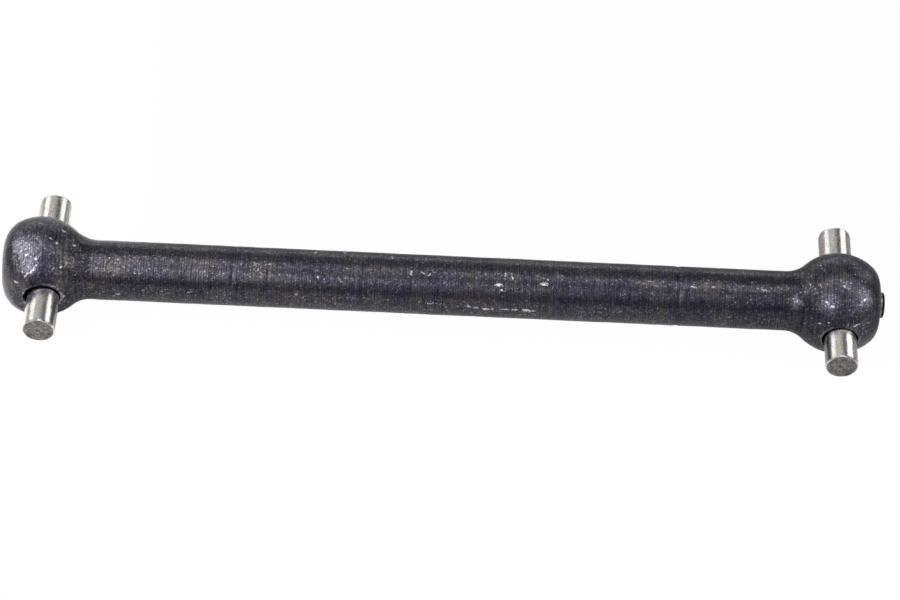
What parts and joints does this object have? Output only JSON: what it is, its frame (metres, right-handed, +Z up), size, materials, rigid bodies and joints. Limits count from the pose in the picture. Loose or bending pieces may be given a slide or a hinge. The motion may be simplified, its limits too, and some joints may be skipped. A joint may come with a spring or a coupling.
{
  "type": "universal joint shaft",
  "caption": "Straight drive shaft with a ball at each end and a cross pin pressed through each ball, to turn in slotted drive cups.",
  "frame": {"origin": "on the shaft's axis, midway between the two cross pins", "axes": "+X along the shaft towards the end with the parting-off pip, both cross pins along Y, +Z up"},
  "size_m": [0.0546, 0.0107, 0.0062],
  "materials": {
    "black_oxide_steel": "blue-black oxide over fine circumferential turning marks, semi-gloss from oil",
    "ground_steel": "ground bright along the sides, rough grey where the ends were sheared"
  },
  "bodies": {
    "root": {"dogbone_shaft": "black_oxide_steel", "left_cross_pin": "ground_steel", "right_cross_pin": "ground_steel"}
  },
  "joints": []
}
